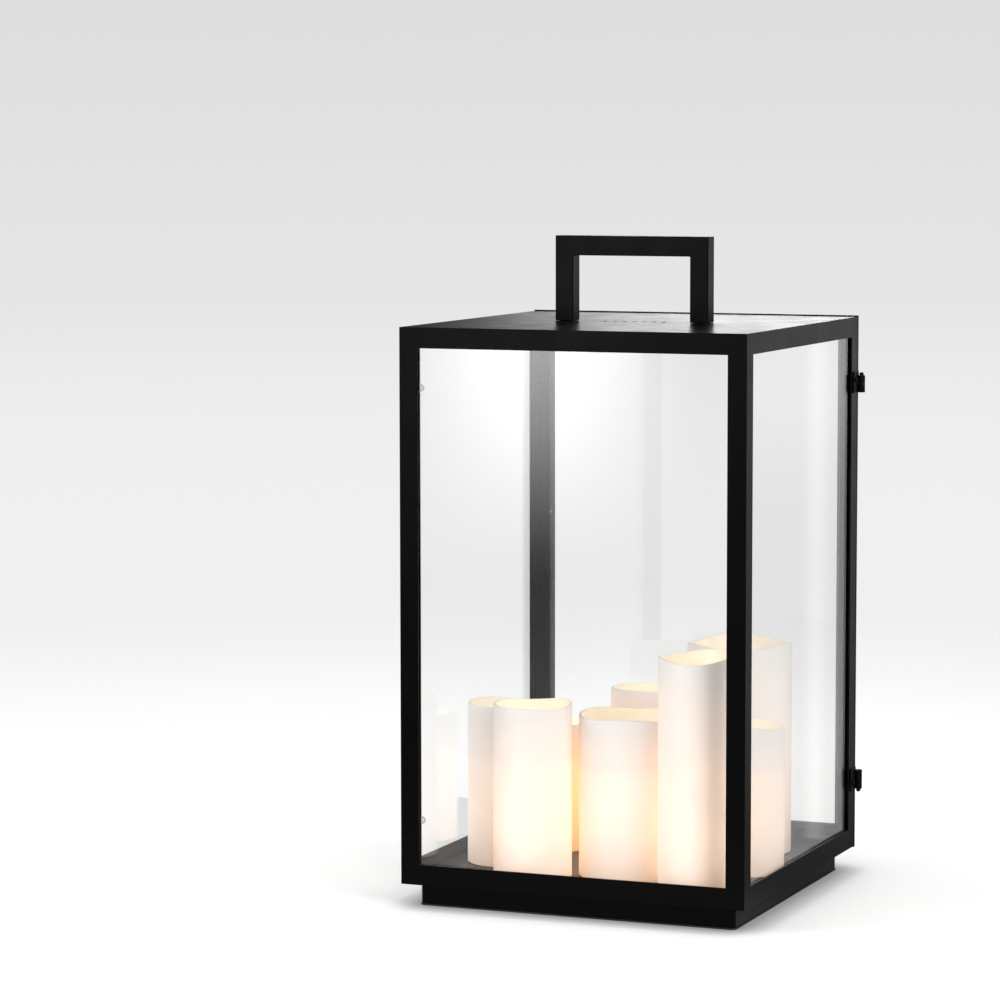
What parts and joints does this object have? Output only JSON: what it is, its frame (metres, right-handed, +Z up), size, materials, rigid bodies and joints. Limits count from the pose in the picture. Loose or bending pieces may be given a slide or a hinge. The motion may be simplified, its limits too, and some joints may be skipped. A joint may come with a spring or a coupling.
{
  "type": "hurricane candle lantern",
  "caption": "Square black steel and glass hurricane lantern with a recessed plinth, fixed bar handle, hinged rear glass door and LED pillar candles inside.",
  "frame": {"origin": "centre of the underside of the base pad, where the lantern stands", "axes": "+Z up, -Y towards the front pane, +Y towards the door, +X towards the hinged edge of the door"},
  "size_m": [0.3575, 0.3737, 0.6461],
  "materials": {
    "powder_coat": "satin black powder coat",
    "clear_glass": "clear float glass",
    "ivory_wax": "ivory wax, glowing from an LED inside",
    "black_pad": "matte black protective sheet",
    "zinc_steel": "zinc-plated",
    "blackened_steel": "blackened steel",
    "clear_silicone": "clear silicone dab",
    "magnet_nickel": "nickel-plated"
  },
  "bodies": {
    "body": {"base_pad": "black_pad", "plinth": "powder_coat", "floor_tray": "powder_coat", "post_front_left": "powder_coat", "post_front_right": "powder_coat", "post_rear_left": "powder_coat", "post_rear_right": "powder_coat", "top_rail_front": "powder_coat", "top_rail_right": "powder_coat", "top_rail_rear": "powder_coat", "top_rail_left": "powder_coat", "bottom_rail_front": "powder_coat", "bottom_rail_right": "powder_coat", "bottom_rail_rear": "powder_coat", "bottom_rail_left": "powder_coat", "top_plate": "powder_coat", "handle": "powder_coat", "handle_screw_left": "zinc_steel", "handle_screw_right": "zinc_steel", "glass_front": "clear_glass", "glass_left": "clear_glass", "glass_right": "clear_glass", "retainer_front_left": "powder_coat", "retainer_front_right": "powder_coat", "retainer_rear_left": "powder_coat", "retainer_rear_right": "powder_coat", "clamp_screw_left_upper": "blackened_steel", "clamp_screw_left_lower": "blackened_steel", "clamp_screw_right_upper": "blackened_steel", "clamp_screw_right_lower": "blackened_steel", "silicone_dab_left_upper": "clear_silicone", "silicone_dab_left_lower": "clear_silicone", "door_magnet": "magnet_nickel", "hinge_leaf_body_upper": "blackened_steel", "hinge_leaf_body_lower": "blackened_steel", "hinge_screw_body_upper": "blackened_steel", "hinge_screw_body_lower": "blackened_steel", "hinge_pin_upper": "blackened_steel", "hinge_pin_lower": "blackened_steel", "hinge_backing_upper": "blackened_steel", "hinge_backing_lower": "blackened_steel", "candle_rear_left": "ivory_wax", "candle_front_left": "ivory_wax", "candle_left_hidden": "ivory_wax", "candle_centre": "ivory_wax", "candle_rear_centre": "ivory_wax", "candle_front_right": "ivory_wax", "candle_rear_right": "ivory_wax", "candle_right": "ivory_wax"},
    "door": {"door_frame": "powder_coat", "door_glass": "clear_glass", "hinge_leaf_door_upper": "blackened_steel", "hinge_leaf_door_lower": "blackened_steel", "hinge_screw_door_upper": "blackened_steel", "hinge_screw_door_lower": "blackened_steel", "knob": "powder_coat", "knob_screw": "zinc_steel", "silicone_dab_door": "clear_silicone"}
  },
  "joints": [
    {"name": "door_hinge", "type": "hinge", "parent": "body", "child": "door", "pos_m": [0.1789, 0.1774, 0.29225], "axis": [0, 0, -1], "range_deg": [0, 180]}
  ]
}
